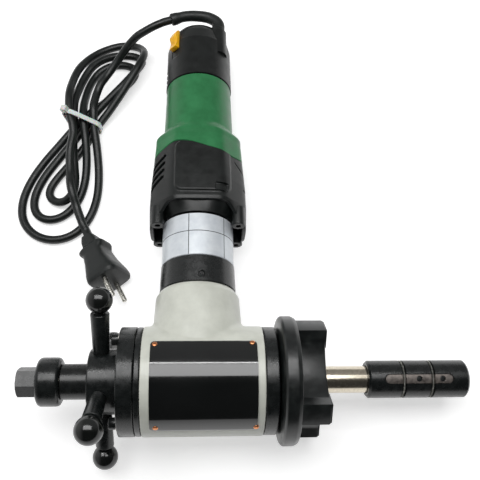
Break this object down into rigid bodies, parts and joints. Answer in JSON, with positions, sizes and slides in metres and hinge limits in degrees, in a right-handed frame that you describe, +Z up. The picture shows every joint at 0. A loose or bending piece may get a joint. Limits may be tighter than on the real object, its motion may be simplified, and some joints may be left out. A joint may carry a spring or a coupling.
{
  "type": "pipe beveling machine",
  "caption": "Portable electric pipe beveling machine: T-shaped gear housing, toothed-lug cutter head, expanding mandrel, ball-ended feed handle, slim motor and tied cord.",
  "frame": {"origin": "centre of the machine's own footprint, without its cord, on the surface that it lies on", "axes": "+Z up, +Y from the spindle towards the motor's rear end, +X from the drive hex towards the mandrel's nose, as seen from above"},
  "size_m": [0.367, 0.4046, 0.1185],
  "materials": {
    "cast_grey": "light grey paint on a die casting, satin",
    "black_steel": "blackened, satin",
    "bright_steel": "ground, bright",
    "nickel_steel": "nickelled, warm and glossy",
    "dark_steel": "hardened, dark and matte",
    "plate_black": "gloss black, bare",
    "ball_black": "gloss black",
    "silver_metal": "silver white, satin, bare",
    "black_plastic": "matte, fine grain",
    "green_plastic": "satin",
    "yellow_plastic": "satin",
    "black_rubber": "matte",
    "tie_white": "translucent nylon, satin"
  },
  "bodies": {
    "housing": {"gear_housing": "cast_grey", "rear_cover": "black_steel", "cover_screw_1": "black_steel", "cover_screw_2": "black_steel", "cover_screw_3": "black_steel", "thrust_ring": "bright_steel", "bearing_retainer": "black_steel", "front_bearing_cap": "black_steel", "nameplate": "plate_black", "rear_spindle_bearing": "bright_steel", "front_spindle_bearing": "bright_steel", "pinion_bearing": "bright_steel", "front_armature_bearing": "bright_steel", "rear_armature_bearing": "bright_steel", "adapter_ring": "black_steel", "gearbox_sleeve": "silver_metal", "ring_gear": "bright_steel", "stator": "bright_steel", "gear_case": "black_plastic", "motor_housing": "green_plastic", "rear_cap": "black_plastic", "strain_relief": "black_rubber", "cord_lead": "black_rubber", "cord_hank": "black_rubber", "cord_tail": "black_rubber", "cable_tie": "tie_white", "plug_body": "black_plastic", "plug_pin_1": "nickel_steel", "plug_pin_2": "nickel_steel"},
    "cutter": {"spindle": "bright_steel", "crown_gear": "bright_steel", "cutter_head": "black_steel"},
    "output": {"pinion_shaft": "bright_steel"},
    "planet_1": {"planet_gear_1": "bright_steel"},
    "planet_2": {"planet_gear_2": "bright_steel"},
    "planet_3": {"planet_gear_3": "bright_steel"},
    "rotor": {"armature": "bright_steel", "cooling_fan": "black_plastic"},
    "handle": {"feed_hub": "black_steel", "handle_spoke_1": "black_steel", "handle_spoke_2": "black_steel", "handle_spoke_3": "black_steel", "handle_spoke_4": "black_steel", "handle_ball_1": "ball_black", "handle_ball_2": "ball_black", "handle_ball_3": "ball_black", "handle_ball_4": "ball_black"},
    "mandrel": {"mandrel_shaft": "nickel_steel", "feed_sleeve": "black_steel", "stop_nut": "black_steel", "mandrel_barrel": "black_steel", "nose_plug": "black_steel", "garter_spring_1": "bright_steel", "garter_spring_2": "bright_steel"},
    "draw_bolt": {"draw_bolt": "black_steel"},
    "draw_rod": {"draw_rod": "bright_steel"},
    "jaw_1": {"jaw_1": "dark_steel"},
    "jaw_2": {"jaw_2": "dark_steel"},
    "jaw_3": {"jaw_3": "dark_steel"},
    "switch": {"switch_slider": "yellow_plastic"}
  },
  "joints": [
    {"name": "cutter_spin", "type": "hinge", "parent": "housing", "child": "cutter", "pos_m": [-0.03561, -0.13438, 0.05298], "axis": [0.9958, 0, -0.0911], "continuous": true},
    {"name": "output_spin", "type": "hinge", "parent": "housing", "child": "output", "pos_m": [-0.03561, -0.13438, 0.05298], "axis": [-0.0073, 0.9968, -0.0798], "continuous": true},
    {"name": "planet_1_spin", "type": "hinge", "parent": "output", "child": "planet_1", "pos_m": [-0.0343, -0.13322, 0.06727], "axis": [-0.0073, 0.9968, -0.0798], "continuous": true},
    {"name": "planet_2_spin", "type": "hinge", "parent": "output", "child": "planet_2", "pos_m": [-0.02385, -0.13495, 0.04469], "axis": [-0.0073, 0.9968, -0.0798], "continuous": true},
    {"name": "planet_3_spin", "type": "hinge", "parent": "output", "child": "planet_3", "pos_m": [-0.04868, -0.13495, 0.04696], "axis": [-0.0073, 0.9968, -0.0798], "continuous": true},
    {"name": "rotor_spin", "type": "hinge", "parent": "housing", "child": "rotor", "pos_m": [-0.03561, -0.13438, 0.05298], "axis": [-0.0073, 0.9968, -0.0798], "continuous": true},
    {"name": "feed_turn", "type": "hinge", "parent": "housing", "child": "handle", "pos_m": [-0.03561, -0.13438, 0.05298], "axis": [0.9958, 0, -0.0911], "range_deg": [-2400, 3000]},
    {"name": "mandrel_feed", "type": "slide", "parent": "housing", "child": "mandrel", "axis": [0.9958, 0, -0.0911], "range_m": [-0.025, 0.02]},
    {"name": "draw_turn", "type": "hinge", "parent": "mandrel", "child": "draw_bolt", "pos_m": [-0.03561, -0.13438, 0.05298], "axis": [0.9958, 0, -0.0911], "range_deg": [0, 3456]},
    {"name": "draw_rod_slide", "type": "slide", "parent": "mandrel", "child": "draw_rod", "axis": [0.9958, 0, -0.0911], "range_m": [-0.012, 0]},
    {"name": "jaw_1_slide", "type": "slide", "parent": "mandrel", "child": "jaw_1", "axis": [0.0899, -0.1634, 0.9825], "range_m": [0, 0.003], "deforming": ["garter_spring_1", "garter_spring_2"]},
    {"name": "jaw_2_slide", "type": "slide", "parent": "mandrel", "child": "jaw_2", "axis": [-0.0578, -0.7727, -0.6321], "range_m": [0, 0.003]},
    {"name": "jaw_3_slide", "type": "slide", "parent": "mandrel", "child": "jaw_3", "axis": [-0.0321, 0.9361, -0.3503], "range_m": [0, 0.003]},
    {"name": "switch_slide", "type": "slide", "parent": "housing", "child": "switch", "axis": [0.0073, -0.9968, 0.0798], "range_m": [0, 0.006]}
  ],
  "couplings": [
    {"joint": "output_spin", "follows": "cutter_spin", "ratio": 3},
    {"joint": "planet_1_spin", "follows": "cutter_spin", "ratio": -9},
    {"joint": "planet_2_spin", "follows": "cutter_spin", "ratio": -9},
    {"joint": "planet_3_spin", "follows": "cutter_spin", "ratio": -9},
    {"joint": "rotor_spin", "follows": "cutter_spin", "ratio": 12},
    {"joint": "feed_turn", "follows": "mandrel_feed", "rad_per_m": -2094.4},
    {"joint": "draw_turn", "follows": "draw_rod_slide", "rad_per_m": -5026.5},
    {"joint": "jaw_1_slide", "follows": "draw_rod_slide", "ratio": -0.25},
    {"joint": "jaw_2_slide", "follows": "draw_rod_slide", "ratio": -0.25},
    {"joint": "jaw_3_slide", "follows": "draw_rod_slide", "ratio": -0.25}
  ]
}
